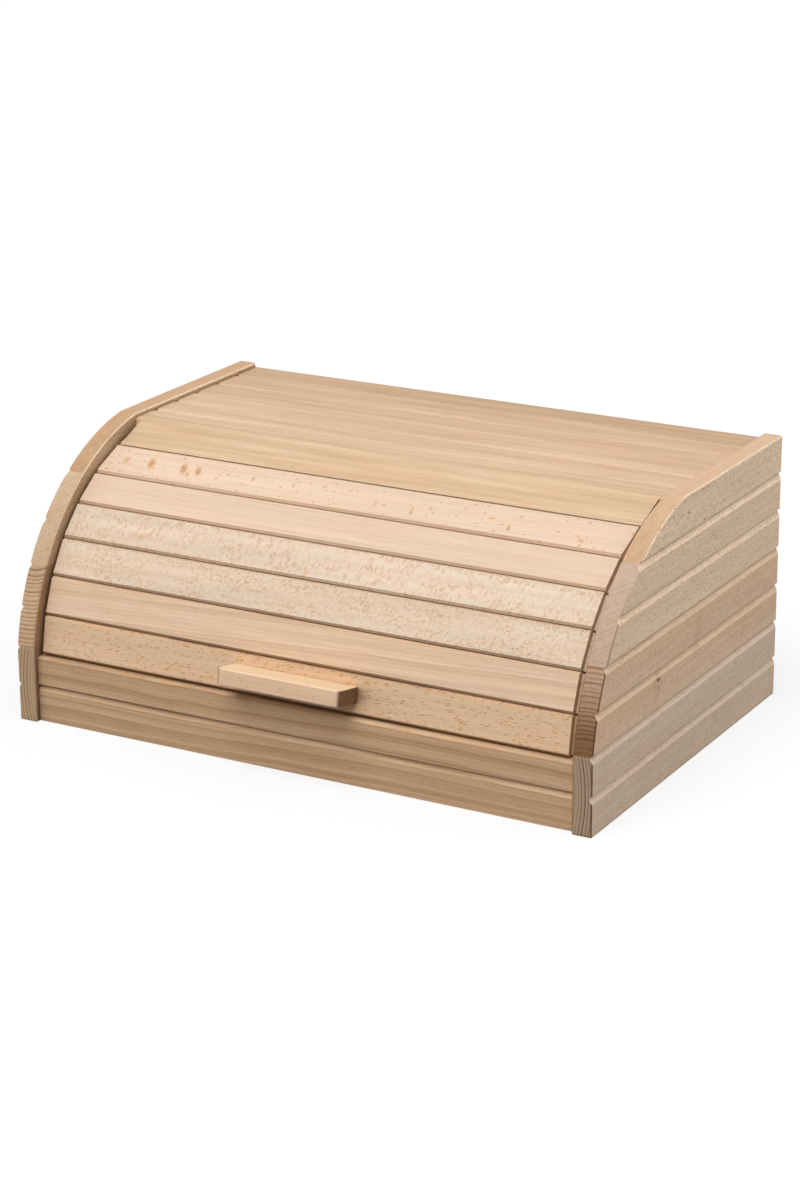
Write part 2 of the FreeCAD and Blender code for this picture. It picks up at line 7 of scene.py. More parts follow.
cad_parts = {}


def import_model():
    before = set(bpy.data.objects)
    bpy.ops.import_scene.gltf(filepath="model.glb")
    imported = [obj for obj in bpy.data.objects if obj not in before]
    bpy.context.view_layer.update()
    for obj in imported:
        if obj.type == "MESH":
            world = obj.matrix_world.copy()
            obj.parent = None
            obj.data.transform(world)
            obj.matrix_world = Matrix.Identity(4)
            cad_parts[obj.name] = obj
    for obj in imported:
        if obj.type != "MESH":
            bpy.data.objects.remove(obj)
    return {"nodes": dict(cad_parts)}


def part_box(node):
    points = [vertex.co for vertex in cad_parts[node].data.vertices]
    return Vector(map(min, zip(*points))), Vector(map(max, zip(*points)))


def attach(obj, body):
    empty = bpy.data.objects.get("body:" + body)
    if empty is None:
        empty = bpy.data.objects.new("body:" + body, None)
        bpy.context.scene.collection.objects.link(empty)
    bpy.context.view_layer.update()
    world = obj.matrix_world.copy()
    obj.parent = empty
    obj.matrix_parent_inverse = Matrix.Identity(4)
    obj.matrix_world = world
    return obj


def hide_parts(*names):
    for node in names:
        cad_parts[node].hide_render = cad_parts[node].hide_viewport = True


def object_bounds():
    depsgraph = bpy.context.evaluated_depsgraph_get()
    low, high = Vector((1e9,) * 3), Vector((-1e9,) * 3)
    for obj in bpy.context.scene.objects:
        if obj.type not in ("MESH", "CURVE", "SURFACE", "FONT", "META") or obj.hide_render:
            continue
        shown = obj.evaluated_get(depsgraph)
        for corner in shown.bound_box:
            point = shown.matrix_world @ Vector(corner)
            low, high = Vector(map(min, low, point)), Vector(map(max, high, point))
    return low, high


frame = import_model()
cad_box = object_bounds()
nodes = frame["nodes"]

# ---------------------------------------------------------------- node helpers


class Graph:
    """Short calls for building the nodes of one material or world."""

    def __init__(self, owner):
        self.owner = owner
        owner.use_nodes = True
        self.tree = owner.node_tree
        self.tree.nodes.clear()

    def add(self, kind, **settings):
        node = self.tree.nodes.new(f"ShaderNode{kind}")
        for key, setting in settings.items():
            setattr(node, key, setting)
        return node

    def feed(self, socket, given):
        if isinstance(given, bpy.types.NodeSocket):
            self.tree.links.new(given, socket)
        else:
            socket.default_value = given

    def math(self, operation, *given, clamp=False):
        node = self.add("Math", operation=operation, use_clamp=clamp)
        for socket, number in zip(node.inputs, given):
            self.feed(socket, number)
        return node.outputs[0]

    def vector(self, operation, *given):
        node = self.add("VectorMath", operation=operation)
        for socket, number in zip(node.inputs, given):
            self.feed(socket, number)
        return node.outputs["Value" if operation in ("LENGTH", "DOT_PRODUCT") else "Vector"]

    def split(self, vector):
        node = self.add("SeparateXYZ")
        self.feed(node.inputs[0], vector)
        return node.outputs[:3]

    def join(self, x, y, z):
        node = self.add("CombineXYZ")
        for socket, number in zip(node.inputs, (x, y, z)):
            self.feed(socket, number)
        return node.outputs[0]

    def step(self, number, start, end, low=0.0, high=1.0):
        """Smooth step from low to high while number goes from start to end."""
        node = self.add("MapRange", interpolation_type="SMOOTHSTEP")
        for socket, given in zip(node.inputs, (number, start, end, low, high)):
            self.feed(socket, given)
        return node.outputs[0]

    def noise(self, vector, detail=2.0, roughness=0.5):
        node = self.add("TexNoise")
        self.feed(node.inputs["Vector"], vector)
        node.inputs["Scale"].default_value = 1.0
        node.inputs["Detail"].default_value = detail
        node.inputs["Roughness"].default_value = roughness
        return node.outputs[0]

    def cells(self, vector):
        """Distance to the nearest of a field of scattered points, and that point's own colour."""
        node = self.add("TexVoronoi")
        self.feed(node.inputs["Vector"], vector)
        node.inputs["Scale"].default_value = 1.0
        return node.outputs["Distance"], self.split(node.outputs["Color"])

    def blend(self, factor, first, second, mode="MIX"):
        node = self.add("Mix", data_type="RGBA", blend_type=mode)
        self.feed(node.inputs[0], factor)
        for socket, colour in zip(node.inputs[6:8], (first, second)):
            self.feed(socket, colour if isinstance(colour, bpy.types.NodeSocket)
                      else (*colour, 1.0))
        return node.outputs[2]

    def tint(self, factor, colour, share):
        """The colour where factor is 0, and this share of it where factor is 1."""
        return self.blend(factor, colour, self.blend(1.0, colour, share, "MULTIPLY"))

    def open_air(self, reach, samples, facing=None):
        """How open to the air the surface is, from 0 to 1, within this reach in metres."""
        node = self.add("AmbientOcclusion", samples=samples)
        node.inputs["Distance"].default_value = reach
        if facing is not None:
            self.feed(node.inputs["Normal"], facing)
        return node.outputs["AO"]

    def relief(self, height, strength, depth, normal=None):
        """The normal of a surface with this height on it. depth is in metres."""
        node = self.add("Bump")
        node.inputs["Strength"].default_value = strength
        node.inputs["Distance"].default_value = depth
        self.feed(node.inputs["Height"], height)
        if normal is not None:
            self.feed(node.inputs["Normal"], normal)
        return node.outputs[0]

    def surface(self, colour, roughness, normal, even):
        """Finish a material and return it. even holds what is the same all over it."""
        shader = self.add("BsdfPrincipled")
        for name, given in (("Base Color", colour), ("Roughness", roughness),
                            ("Normal", normal)):
            self.feed(shader.inputs[name], given)
        for name, number in even.items():
            shader.inputs[name].default_value = number
        self.feed(self.add("OutputMaterial").inputs["Surface"], shader.outputs[0])
        return self.owner


# ---------------------------------------------------------------- wood

MM = 1000.0
SEED_STEP = (531.7, 87.3, 41.9)
WOOD = {
    "seed": 0, "colour": (0.73, 0.54, 0.40),
    # growth rings: where the pith lies across and above the board, how far apart broad and
    # fine rings are, how dark they and the bands between them are, how far they wander, and
    # how they slant along the board
    "pith": (-120.0, -60.0), "ring": 7.0, "ring_dark": 0.0, "band": 0.05, "fine": 1.7,
    "fine_dark": 0.03, "sway": 2.0, "wave": 0.5, "slope": 0.0,
    # short dark dashes: cell size along and across, least size and spread as shares of a
    # cell, share of cells, strength, tilt (the pores' too), and from where along the board
    "dash": (6.0, 2.4), "dash_size": (0.2, 0.18), "dash_share": 0.0, "dash_dark": 0.5,
    "tilt": 0.06, "dash_from": None,
    # soft speckle of the rays: blotch size along and across, strength, lean
    "speckle": (2.0, 3.0), "speckle_dark": 0.0, "lean": 0.0,
    # scattered flecks that stand across the grain: cell size, share of cells, strength
    "fleck": (8.0, 6.0), "fleck_share": 0.0, "fleck_dark": 0.4,
    # single marks: place along and across, half length, half width, degrees off the grain
    # and strength
    "spots": (),
    # pores: cell size along and across, share of cells, strength
    "pore": (4.0, 1.7), "pore_share": 0.6, "pore_dark": 0.30,
    # soft streaks: strength; long bands along the grain: width and strength; fibre: strength
    "streak": 0.06, "bands": (3.0, 0.16), "fibre": 0.24,
    # colours as shares of the face's own: pinker patches, the narrow edges, the face inside
    # the box (painted shade), what lies under a mark, the painted light on bevels (a painted
    # highlight above 1, painted shade below) and end grain
    "pink": (1.015, 0.98, 0.96), "edge": (1.0, 1.0, 1.0), "inside": (0.8, 0.74, 0.66),
    "mark": (0.76, 0.58, 0.42), "milled": (1.20, 1.23, 1.27), "end": (0.66, 0.60, 0.52),
    # how dark the end grain's rings are, and how it darkens downwards: where across the
    # board that is full, where it starts, and how dark it gets
    "end_rings": 0.22, "end_fade": None,
    # how far outward a bevel has to lean before it takes the painted bevel light
    "shallow": (-1.0, -0.5),
    # painted shade in joints: how dark it is, how far that reaches in metres, and how open to the
    # air the surface is where it starts and where it is full
    "joint_shade": 0.75, "joint_reach": 0.0020, "joint_open": (0.62, 0.12),
    # painted shade: how much darker faces inside the box near the slats are, bevels that face
    # down, and the bevelled arris at the front
    "shadowed": 0.0, "under": 0.30, "corner_dark": 0.0,
    # how far the arrises are rounded, in metres, and how much paler they are worn
    "arris": 0.0005, "worn": 0.35,
    # soft shade beside a piece that stands out: reach in metres, strength, and half the
    # length along the board that it covers
    "shade": (0.02, 0.0, 90.0),
}
# colours of knots and of painted shade, of what is darker downwards, and of worn arrises, as
# shares of the wood's own
KNOT_AND_SHADE = (0.30, 0.23, 0.17)
FADE = (0.46, 0.34, 0.195)
WORN = (1.22, 1.20, 1.18)
# how far the normal leans where each part of a board starts and is full
LEAN = {
    # outward, with its sign
    "inside": (-0.8, -0.95), "outer": (0.0, 0.2),
    # upward
    "falling": (-0.1, -0.4),
    # along the grain, either way
    "end": (0.15, 0.8), "corner_end": (0.4, 0.6),
    # across it, either way
    "off_edge": (0.98, 0.90),
    # outward, either way
    "off_face": (0.97, 0.90), "edge": (0.45, 0.25), "corner_low": (0.45, 0.6),
    "corner_high": (0.93, 0.83),
}
# noise in the wood: length along the grain and width across it in mm, detail, roughness
NOISE = {
    "drift": (170, 90, 1), "wander": (45, 30, 1), "tone": (110, 14, 2),
    "fibre": (18, 0.5, 3, 0.65), "pink": (90, 9), "soaked": (20, 0.6, 2, 0.7),
    "worn": (20, 5), "gloss": (30, 3), "dash_bend": (9, 5, 1), "pore_patch": (30, 12, 1),
    "speckle_patch": (24, 12, 1), "fleck_bend": (4, 3, 1), "spot_along": (3, 3, 1),
    "spot_across": (4, 2.5, 1),
}
BANDS_LONG, BANDS_NOISE = 130, (2, 0.6)
SPECKLE_NOISE = (3, 0.62)
# where a smooth step starts and is full, and what it gives there if not 0 and 1
STEP = {
    "ring_own": (0.25, 0.7, 0.3, 1.0), "pore": (0.36, 0.14),
    "pore_patch": (-0.2, 0.2, 0.35, 1.0), "speckle": (-0.03, 0.12),
    "speckle_patch": (-0.2, 0.15, 0.35, 1.0), "spot": (1.15, 0.3), "pink": (-0.12, 0.12),
    "soaked": (-0.2, 0.2, 0.85, 1.0), "sharp": (0.995, 0.85), "worn": (-0.15, 0.1),
    "gloss": (-0.3, 0.3, 0.5, 0.66),
}
# rings: how strongly each colour channel takes their shade, at what part of a ring it is
# darkest, over how many rings their widths vary, how far apart two rings are in the noise,
# its rows, the bands' width as a share of a ring, and where broad and fine rings start to
# darken and how uneven they are
RING_POWERS = (0.85, 1.1, 1.4)
RING_PEAK, RING_RUN, RING_JUMP = 0.93, 2.3, 0.73
WIDTH_ROW, OWN_ROW, BAND_ROW = 0.0, 4.0, 8.0
BAND_SHARE, BAND_NOISE = 0.6, (2, 0.6)
BROAD, FINE = (0.15, 2.0), (0.35, 1.2)
# scattered marks: cell depth in mm, part of a mark that is full, softness of the choice
DASH, FLECK = (9, 0.5, 0.1), (9, 0.4, 0.05)
FLECK_SIZE = (0.12, 0.2)
PORE_DEEP, PORE_SOFT = 6, 0.1
# how far marks are bent, in mm, and half the length over which dashes fade in
DASH_BEND, FLECK_BEND, SPOT_BEND, DASH_FADE = 0.9, 3.0, 1.6, 80
# what the narrow edges add to the strength of marks, as a share of it
EDGE_MARKS = -0.75
# relief: rings and fibre, marks, strength, and depth in metres
RING_HIGH, FIBRE_HIGH, MARK_HIGH = -0.25, 0.6, -0.8
RELIEF_STRENGTH, RELIEF_DEPTH = 0.35, 0.00006
# shade inside the box: its reach in metres, and how open to the air it starts and is full
INNER_REACH, INNER_OPEN = 0.020, (0.98, 0.55)
# rays for the shade inside the box, beside a piece and in joints, and for rounded arrises
INNER_RAYS, SHADE_RAYS, JOINT_RAYS, ARRIS_RAYS = 4, 8, 6, 4
# shade beside a piece: which way it looks, how much of the normal goes into that, how open
# it starts and is full, and where it begins to fade along the board
SHADE_FROM, SHADE_OUT = (-1.1, 0.0, 0.9), (0.5, 0.5, 0.5)
SHADE_OPEN, SHADE_EASE = (0.62, 0.36), 1.1
# how little an arris is worn, as a share of the look's own number
LEAST_WORN = 0.3
WOOD_EVEN = {"Specular IOR Level": 0.35}


class Board:
    """The wood of one board. Its axes are along the grain, across it and outward, in mm."""

    def __init__(self, name, across, outward, middle, changes):
        self.look = WOOD | changes
        self.g = g = Graph(bpy.data.materials.new(name))
        y_axis, z_axis = Vector(across), Vector(outward)
        turn = Matrix((y_axis.cross(z_axis), y_axis, z_axis))
        coords = g.add("TexCoord")
        mapping = g.add("Mapping")
        g.feed(mapping.inputs["Vector"], coords.outputs["Object"])
        mapping.inputs["Scale"].default_value = (MM, MM, MM)
        mapping.inputs["Rotation"].default_value = turn.to_euler()
        mapping.inputs["Location"].default_value = -(turn @ (Vector(middle) * MM))
        self.place = mapping.outputs[0]
        self.offset = tuple(step * self.look["seed"] for step in SEED_STEP)
        self.field = g.vector("ADD", self.place, self.offset)
        self.x, self.y, self.z = g.split(self.place)

        normal = coords.outputs["Normal"]
        along, over, out = (g.vector("DOT_PRODUCT", normal, tuple(row)) for row in turn)
        self.inside = g.step(out, *LEAN["inside"])
        upward = g.vector("DOT_PRODUCT", normal, (0.0, 0.0, 1.0))
        self.under = g.math("MULTIPLY", g.step(upward, *LEAN["falling"]),
                            g.step(out, *LEAN["outer"]))
        along, over, out = (g.math("ABSOLUTE", lean) for lean in (along, over, out))
        self.end = g.step(along, *LEAN["end"])
        # a bevel leans between the board's face and its edge
        bevel = g.math("MULTIPLY", g.step(out, *LEAN["off_face"]),
                       g.step(over, *LEAN["off_edge"]))
        self.bevel = g.math("MULTIPLY", bevel, g.step(out, *self.look["shallow"]))
        self.edge = g.step(out, *LEAN["edge"])
        # the bevelled arris between the outer face and the front end
        slant = g.math("MULTIPLY", g.step(out, *LEAN["corner_low"]),
                       g.step(out, *LEAN["corner_high"]))
        self.corner = g.math("MULTIPLY", g.step(along, *LEAN["corner_end"]), slant)

    def noise(self, along, over, detail=2.0, roughness=0.5, field=None):
        """Noise from about -0.5 to 0.5 whose features are this long and wide, in mm."""
        g = self.g
        scaled = g.vector("MULTIPLY", field or self.field, (1 / along, 1 / over, 1 / over))
        return g.math("SUBTRACT", g.noise(scaled, detail, roughness), 0.5)

    def rings(self):
        """How dark the broad rings are, the fine rings, and the soft bands between them."""
        g, look = self.g, self.look
        drift = g.math("MULTIPLY", self.noise(*NOISE["drift"]), 2 * look["sway"])
        drift = g.math("MULTIPLY_ADD", self.noise(*NOISE["wander"]), 2 * look["wave"], drift)
        pith_across, pith_above = look["pith"]
        across = g.math("ADD", g.math("SUBTRACT", self.y, pith_across), drift)
        above = g.math("SUBTRACT", self.z, pith_above)
        radius = g.vector("LENGTH", g.join(0.0, across, above))
        radius = g.math("MULTIPLY_ADD", self.x, look["slope"], radius)
        seed = look["seed"] * SEED_STEP[0]

        def late(width, start, uneven):
            """Each ring darkens slowly outwards and ends sharply; uneven varies the widths."""
            count = g.math("DIVIDE", radius, width)
            run = g.noise(g.join(g.math("DIVIDE", count, RING_RUN), seed, WIDTH_ROW), 1)
            count = g.math("MULTIPLY_ADD", run, uneven, count)
            part = g.math("FRACT", count)
            dark = g.math("MULTIPLY", g.step(part, start, RING_PEAK),
                          g.step(part, 1.0, RING_PEAK))
            jump = g.math("MULTIPLY", g.math("FLOOR", count), RING_JUMP)
            own = g.noise(g.join(jump, seed, OWN_ROW), 0)
            return g.math("MULTIPLY", dark, g.step(own, *STEP["ring_own"]))

        broad = late(look["ring"], *BROAD)
        fine = late(look["fine"], *FINE)
        row = g.join(g.math("DIVIDE", radius, BAND_SHARE * look["ring"]), seed, BAND_ROW)
        return broad, fine, g.math("SUBTRACT", g.noise(row, *BAND_NOISE), 0.5)

    def slanted(self, across):
        """The field with its features tilted off the grain."""
        g = self.g
        tilted = g.math("MULTIPLY_ADD", self.x, -self.look["tilt"], across)
        return g.vector("ADD", g.join(self.x, tilted, self.z), self.offset)

    def scattered(self, field, cell, kind, size, share):
        """Marks of uneven size in this share of a field's cells."""
        g = self.g
        deep, core, soft = kind
        least, spread = size
        gap, chance = g.cells(g.vector("MULTIPLY", field, (1 / cell[0], 1 / cell[1], 1 / deep)))
        size = g.math("MULTIPLY_ADD", chance[1], spread, least)
        return g.math("MULTIPLY", g.step(gap, size, g.math("MULTIPLY", size, core)),
                      g.step(chance[0], share + soft, share - soft))

    def dashes(self):
        g, look = self.g, self.look
        bent = g.math("MULTIPLY_ADD", self.noise(*NOISE["dash_bend"]), DASH_BEND, self.y)
        dash = self.scattered(self.slanted(bent), look["dash"], DASH, look["dash_size"],
                              look["dash_share"])
        start = look["dash_from"]
        if start is not None:
            dash = g.math("MULTIPLY", dash, g.step(self.x, start - DASH_FADE,
                                                   start + DASH_FADE))
        return g.math("MULTIPLY", dash, look["dash_dark"])

    def pores(self):
        g, look = self.g, self.look
        along, over = look["pore"]
        share = look["pore_share"]
        gap, chance = g.cells(g.vector("MULTIPLY", self.slanted(self.y),
                                       (1 / along, 1 / over, 1 / PORE_DEEP)))
        pore = g.math("MULTIPLY", g.step(gap, *STEP["pore"]),
                      g.step(chance[0], share + PORE_SOFT, share - PORE_SOFT))
        patchy = g.step(self.noise(*NOISE["pore_patch"]), *STEP["pore_patch"])
        return g.math("MULTIPLY", g.math("MULTIPLY", pore, patchy), look["pore_dark"])

    def speckle(self):
        g, look = self.g, self.look
        leaning = g.vector("ADD", g.join(g.math("MULTIPLY_ADD", self.y, -look["lean"], self.x),
                                         self.y, self.z), self.offset)
        grains = self.noise(*look["speckle"], *SPECKLE_NOISE, leaning)
        thick = g.step(self.noise(*NOISE["speckle_patch"]), *STEP["speckle_patch"])
        return g.math("MULTIPLY", g.math("MULTIPLY", g.step(grains, *STEP["speckle"]), thick),
                      look["speckle_dark"])

    def flecks(self):
        g, look = self.g, self.look
        bent = g.math("MULTIPLY_ADD", self.noise(*NOISE["fleck_bend"]), FLECK_BEND, self.x)
        field = g.vector("ADD", g.join(bent, self.y, self.z), self.offset)
        fleck = self.scattered(field, look["fleck"], FLECK, FLECK_SIZE, look["fleck_share"])
        return g.math("MULTIPLY", fleck, look["fleck_dark"])

    def spots(self):
        g = self.g
        bent = g.vector("ADD", self.place, g.join(
            g.math("MULTIPLY", self.noise(*NOISE["spot_along"]), SPOT_BEND),
            g.math("MULTIPLY", self.noise(*NOISE["spot_across"]), SPOT_BEND), 0.0))
        total = 0.0
        for along, over, long, wide, degrees, strength in self.look["spots"]:
            angle = math.radians(degrees)
            away = g.vector("SUBTRACT", bent, (along, over, 0.0))
            lengthwise = g.vector("DOT_PRODUCT", away, (
                math.cos(angle) / long, math.sin(angle) / long, 0.0))
            sidewise = g.vector("DOT_PRODUCT", away, (
                -math.sin(angle) / wide, math.cos(angle) / wide, 0.0))
            spot = g.step(g.vector("LENGTH", g.join(lengthwise, sidewise, 0.0)),
                          *STEP["spot"])
            total = g.math("MULTIPLY_ADD", spot, strength, total)
        return total

    def grain(self):
        """The plain wood's colour with its streaks and rings, and its height."""
        g, look = self.g, self.look
        broad, fine, band = self.rings()
        tone = self.noise(*NOISE["tone"])
        fibre = self.noise(*NOISE["fibre"])
        width, strength = look["bands"]
        bands = self.noise(BANDS_LONG, width, *BANDS_NOISE)
        streak = g.math("MULTIPLY_ADD", tone, 2 * look["streak"],
                        g.math("MULTIPLY", fibre, look["fibre"]))
        streak = g.math("MULTIPLY_ADD", bands, 2 * strength, streak)
        streak = g.math("MULTIPLY_ADD", band, 2 * look["band"], streak)
        shade = g.math("ADD", 1.0, streak)
        shade = g.math("MULTIPLY_ADD", broad, -look["ring_dark"], shade)
        fine_dark = g.step(self.end, 0.0, 1.0, look["fine_dark"], look["end_rings"])
        shade = g.math("SUBTRACT", shade, g.math("MULTIPLY", fine, fine_dark))
        face = look["colour"]
        pink = tuple(part * share for part, share in zip(face, look["pink"]))
        colour = g.blend(g.step(self.noise(*NOISE["pink"]), *STEP["pink"]), face, pink)
        powers = [g.math("POWER", shade, power) for power in RING_POWERS]
        colour = g.blend(1.0, colour, g.join(*powers), "MULTIPLY")
        height = g.math("MULTIPLY_ADD", broad, RING_HIGH,
                        g.math("MULTIPLY", fibre, FIBRE_HIGH))
        return colour, height

    def marked(self, colour, height):
        """The colour and the height with pores and whatever other marks the look asks for."""
        g, look = self.g, self.look
        mark = self.pores()
        for make, wanted in ((self.dashes, look["dash_share"]),
                             (self.speckle, look["speckle_dark"]),
                             (self.flecks, look["fleck_share"]), (self.spots, look["spots"])):
            if wanted:
                mark = g.math("ADD", mark, make())
        mark = g.math("MULTIPLY", mark, g.math("SUBTRACT", 1.0, self.end))
        mark = g.math("MULTIPLY", mark, g.math("MULTIPLY_ADD", self.edge, EDGE_MARKS, 1.0))
        knot = g.math("SUBTRACT", mark, 1.0, clamp=True)
        mark = g.math("MULTIPLY", mark, 1.0, clamp=True)
        colour = g.tint(mark, colour, look["mark"])
        colour = g.tint(knot, colour, KNOT_AND_SHADE)
        return colour, g.math("MULTIPLY_ADD", mark, MARK_HIGH, height)

    def toned(self, colour):
        """The narrow edges and end grain, painted shade on the faces inside the box and on the
        front arris, and painted light on bevels.
        """
        g, look = self.g, self.look
        colour = g.tint(self.edge, colour, look["edge"])
        # painted shade: faces inside the box are darker, and more so near the slats where they
        # are less open to the air
        colour = g.tint(self.inside, colour, look["inside"])
        if look["shadowed"]:
            hidden = g.step(g.open_air(INNER_REACH, INNER_RAYS), *INNER_OPEN, 0.0,
                            look["shadowed"])
            colour = g.tint(g.math("MULTIPLY", self.inside, hidden), colour, KNOT_AND_SHADE)
        # end grain soaks up light between its dark pores
        soaked = g.step(self.noise(*NOISE["soaked"]), *STEP["soaked"])
        colour = g.tint(g.math("MULTIPLY", self.end, soaked), colour, look["end"])
        if look["end_fade"]:
            low, high, depth = look["end_fade"]
            faded = g.math("MULTIPLY", self.end, g.step(self.y, high, low, 0.0, depth))
            colour = g.tint(faded, colour, FADE)
        # painted light on bevels: a painted highlight where the share is above 1, painted shade
        # where it is below
        milled = g.math("MULTIPLY", self.bevel, g.math("SUBTRACT", 1.0, self.end))
        colour = g.tint(milled, colour, look["milled"])
        # painted shade on the bevelled arris at the front
        if look["corner_dark"]:
            colour = g.tint(g.math("MULTIPLY", self.corner, look["corner_dark"]), colour,
                            KNOT_AND_SHADE)
        return colour

    def shaded(self, colour):
        """Painted shade on bevels that face down, beside a piece that stands out, and in joints.
        """
        g, look = self.g, self.look
        # painted shade on bevels that face down
        colour = g.tint(g.math("MULTIPLY", self.under, look["under"]), colour, KNOT_AND_SHADE)
        reach, strength, cover = look["shade"]
        if strength:
            outward = g.vector("MULTIPLY", g.add("NewGeometry").outputs["Normal"], SHADE_OUT)
            facing = g.vector("NORMALIZE", g.vector("ADD", outward, SHADE_FROM))
            beside = g.step(g.open_air(reach, SHADE_RAYS, facing), *SHADE_OPEN, 0.0, strength)
            near = g.step(g.math("ABSOLUTE", self.x), SHADE_EASE * cover, cover)
            colour = g.tint(g.math("MULTIPLY", beside, near), colour, KNOT_AND_SHADE)
        # painted shade in joints and creases, darker where the surface is less open to the air
        closed = g.step(g.open_air(look["joint_reach"], JOINT_RAYS), *look["joint_open"],
                        0.0, look["joint_shade"])
        return g.tint(closed, colour, KNOT_AND_SHADE)

    def finish(self):
        """Build the whole material and return it."""
        g, look = self.g, self.look
        colour, height = self.marked(*self.grain())
        colour = self.shaded(self.toned(colour))
        bevel = g.add("Bevel", samples=ARRIS_RAYS)
        bevel.inputs["Radius"].default_value = look["arris"]
        rounded = bevel.outputs[0]
        sharp = g.vector("DOT_PRODUCT", rounded, g.add("NewGeometry").outputs["Normal"])
        patchy = g.step(self.noise(*NOISE["worn"]), *STEP["worn"],
                        LEAST_WORN * look["worn"], look["worn"])
        worn = g.math("MULTIPLY", g.step(sharp, *STEP["sharp"]), patchy)
        return g.surface(g.tint(worn, colour, WORN),
                         g.step(self.noise(*NOISE["gloss"]), *STEP["gloss"]),
                         g.relief(height, RELIEF_STRENGTH, RELIEF_DEPTH, rounded),
                         WOOD_EVEN)


def wood(name, across, outward, middle, **changes):
    """Planed beech. The grain runs along the cross product of the two given axes."""
    return Board(name, across, outward, middle, changes).finish()


# metal: its noise's scale, detail and roughness, where its marks and its gloss start and
# are full, how dull and how much rougher the marks are, and the relief's strength and depth
METAL_SCALE, METAL_NOISE = 900.0, (4, 0.6)
METAL_MARKS, METAL_GLOSS = (0.35, 0.75), (0.2, 0.8)
METAL_DULL, METAL_ROUGHER, METAL_RELIEF = 0.72, 0.18, (0.25, 0.00003)


def metal(name, colour, roughness):
    """Metal with fine marks, in which it is duller and less smooth."""
    g = Graph(bpy.data.materials.new(name))
    coords = g.add("TexCoord")
    field = g.vector("SCALE", coords.outputs["Object"])
    field.node.inputs["Scale"].default_value = METAL_SCALE
    marks = g.noise(field, *METAL_NOISE)
    dull = tuple(part * METAL_DULL for part in colour)
    return g.surface(g.blend(g.step(marks, *METAL_MARKS), colour, dull),
                     g.step(marks, *METAL_GLOSS, roughness, roughness + METAL_ROUGHER),
                     g.relief(marks, *METAL_RELIEF), {"Metallic": 1.0})


def wear(node, material):
    """Give all of a node's slots this material."""
    thing = nodes[node]
    if not thing.material_slots:
        thing.data.materials.append(material)
    for slot in thing.material_slots:
        slot.link = "OBJECT"
        slot.material = material


def middle_of(node):
    low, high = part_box(node)
    return (low + high) / 2


def linked(name, data):
    """A new object in the scene."""
    thing = bpy.data.objects.new(name, data)
    bpy.context.scene.collection.objects.link(thing)
    return thing


# ---------------------------------------------------------------- boards

X, Y, Z = Vector((1, 0, 0)), Vector((0, 1, 0)), Vector((0, 0, 1))
# the centre of the track that the slats run in
TRACK = Vector((0, 0.004, 0.0325))

# the slats from the top down; the first is hidden while the box is shut
SLATS = {
    1: dict(colour=(0.72, 0.54, 0.38), dash_share=0.4),
    2: dict(colour=(0.752, 0.567, 0.417), pith=(0, -900), fine_dark=0.01, band=0.02,
            mark=(0.80, 0.56, 0.36), streak=0.04, fleck=(5.4, 4.2), fleck_share=0.85,
            fleck_dark=0.85, edge=(1.2, 1.2, 1.2), spots=(
                (-173, 0, 4.6, 3.2, 100, 0.6), (-154, 0.5, 6.4, 3.2, 106, 1.0),
                (-129, 0, 6.6, 2.9, 104, 1.0), (-124, -4.5, 3.4, 2.0, 110, 0.8),
                (-118, 0, 5.4, 2.8, 108, 1.0), (-77, 1, 3.4, 1.5, 96, 0.8),
                (-47, 1, 3.2, 1.7, 104, 0.5), (-26, 4, 2.6, 1.6, 20, 0.6),
                (15, -4, 3.8, 1.4, 94, 0.6), (41, -4, 3.4, 1.6, 96, 0.6),
                (52, 0, 3.0, 1.6, 92, 0.5), (95, 0, 2.8, 1.6, 10, 0.75),
                (109, -6, 3.4, 1.6, 96, 0.75), (158, -7, 2.4, 2.0, 0, 0.6))),
    3: dict(colour=(0.75, 0.566, 0.415), ring=11, ring_dark=0.04, slope=0.02,
            fine_dark=0.05),
    4: dict(colour=(0.75, 0.603, 0.468), pith=(0, -500), band=0.02, speckle=(1.9, 3.4),
            speckle_dark=0.95, lean=0.15, fine_dark=0.01, mark=(0.86, 0.70, 0.56),
            bands=(7.0, 0.16)),
    5: dict(colour=(0.755, 0.602, 0.456), pith=(0, -500), band=0.02, speckle=(1.8, 2.2),
            mark=(0.84, 0.69, 0.55), bands=(7.0, 0.16), speckle_dark=0.95, lean=0.5,
            dash=(5.0, 2.2), dash_share=0.5, dash_dark=0.55, dash_from=100, tilt=-0.25,
            fine_dark=0.01),
    6: dict(colour=(0.798, 0.578, 0.403), pith=(-110, -70), ring=6.5, ring_dark=0.14,
            slope=-0.036, sway=2.5, wave=0.6, band=0.06, fine=2.2, fine_dark=0.10,
            streak=0.04),
    7: dict(colour=(0.765, 0.53, 0.337), pith=(0, -500), dash=(5.2, 1.3), dash_share=1.0,
            dash_size=(0.24, 0.18), dash_dark=0.85, mark=(0.70, 0.51, 0.35), tilt=0.2,
            band=0.03, fine_dark=0.02, shade=(0.016, 0.9, 90.0)),
}
# painted shade on the slats' bevels, and more on those that face down
SLAT_BEVEL = dict(milled=(0.86, 0.80, 0.74), under=0.5)
for number, look in SLATS.items():
    middle = middle_of(f"slat_{number}")
    outward = Vector((0, middle.y - TRACK.y, middle.z - TRACK.z)).normalized()
    across = outward.cross(X)
    wear(f"slat_{number}", wood(f"beech_slat_{number}", across, outward, middle,
                                seed=number, **SLAT_BEVEL, **look))
# the handle stands on the lowest slat and has its directions
# the handle's ends are painted far darker than end grain alone: painted shade
wear("handle", wood("beech_handle", across, outward, middle_of("handle"), seed=11,
                    colour=(0.765, 0.53, 0.36), dash=(6.6, 1.6), dash_share=0.8,
                    dash_size=(0.18, 0.16), dash_dark=0.6, band=0.04,
                    edge=(1.06, 1.12, 1.06), end=(0.17, 0.105, 0.065)))

